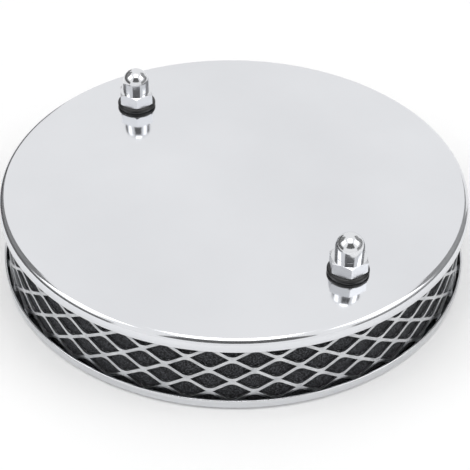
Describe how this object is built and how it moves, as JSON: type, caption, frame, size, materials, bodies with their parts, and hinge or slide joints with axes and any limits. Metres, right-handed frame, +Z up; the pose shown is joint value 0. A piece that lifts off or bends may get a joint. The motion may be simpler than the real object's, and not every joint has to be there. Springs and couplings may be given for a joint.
{
  "type": "carburettor air filter",
  "caption": "Round pancake air filter for a carburettor: a polished lid and back plate clamp an expanded-metal band and a foam ring, held by studs and dome nuts.",
  "frame": {"origin": "middle of the back plate's underside, which is the carburettor face", "axes": "+Z up along the filter's axis from the back plate to the lid, +X through the right-hand stud and nut"},
  "size_m": [0.178, 0.178, 0.0484],
  "materials": {
    "lid_chrome": "polished sheet steel, lightly grained",
    "base_chrome": "polished sheet steel",
    "mesh_steel": "bright flattened expanded metal",
    "filter_foam": "charcoal open-cell foam",
    "stud_steel": "zinc-plated steel",
    "washer_rubber": "matt black rubber",
    "nut_chrome": "bright chrome plate"
  },
  "bodies": {
    "root": {"top_cover": "lid_chrome", "base_plate": "base_chrome", "mesh_band": "mesh_steel", "foam_element": "filter_foam", "cover_stud_left": "stud_steel", "cover_stud_right": "stud_steel", "sealing_washer_left": "washer_rubber", "sealing_washer_right": "washer_rubber", "dome_nut_left": "nut_chrome", "dome_nut_right": "nut_chrome"}
  },
  "joints": []
}
